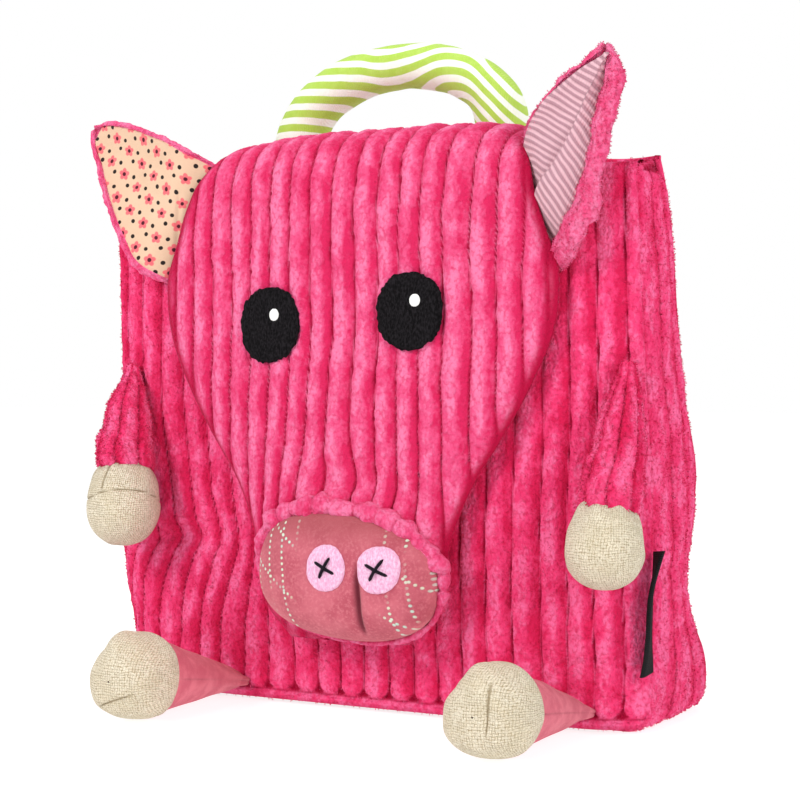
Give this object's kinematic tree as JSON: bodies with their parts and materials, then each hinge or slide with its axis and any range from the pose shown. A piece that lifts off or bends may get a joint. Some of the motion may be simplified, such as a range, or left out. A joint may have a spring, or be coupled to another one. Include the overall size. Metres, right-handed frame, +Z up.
{
  "type": "child's plush animal backpack",
  "caption": "Soft corduroy backpack made up as a pig, with a padded head for a flap, ears, snout, stuffed limbs, carrying handle and shoulder straps.",
  "frame": {"origin": "centre of the flat base, on the surface that the bag stands on", "axes": "+Z up, -Y towards the face, +X to the right for someone looking at the face"},
  "size_m": [0.305, 0.2235, 0.3152],
  "materials": {
    "plush": "wide-wale plush corduroy",
    "linen": "coarse natural linen",
    "calico": "printed cotton calico",
    "striped_knit": "fine striped ribbed knit",
    "striped_jersey": "striped cotton jersey",
    "snout_cloth": "brushed cotton with a dotted plaid",
    "leg_cloth": "brushed cotton",
    "pink_felt": "wool felt",
    "black_felt": "wool felt",
    "black_ribbon": "woven satin ribbon",
    "strap_cloth": "padded woven cotton"
  },
  "bodies": {
    "root": {"front_panel": "plush", "side_gusset": "plush", "back_panel": "plush", "head_flap": "plush", "snout": "snout_cloth", "nostril_left": "pink_felt", "nostril_right": "pink_felt", "eye_left": "black_felt", "eye_right": "black_felt", "ear_left": "plush", "ear_right": "plush", "ear_left_lining": "calico", "ear_right_lining": "striped_knit", "handle": "striped_jersey", "arm_left": "plush", "arm_right": "plush", "hand_left": "linen", "hand_right": "linen", "leg_left": "leg_cloth", "leg_right": "leg_cloth", "foot_left": "linen", "foot_right": "linen", "side_label": "black_ribbon", "strap_left": "strap_cloth", "strap_right": "strap_cloth"}
  },
  "joints": []
}
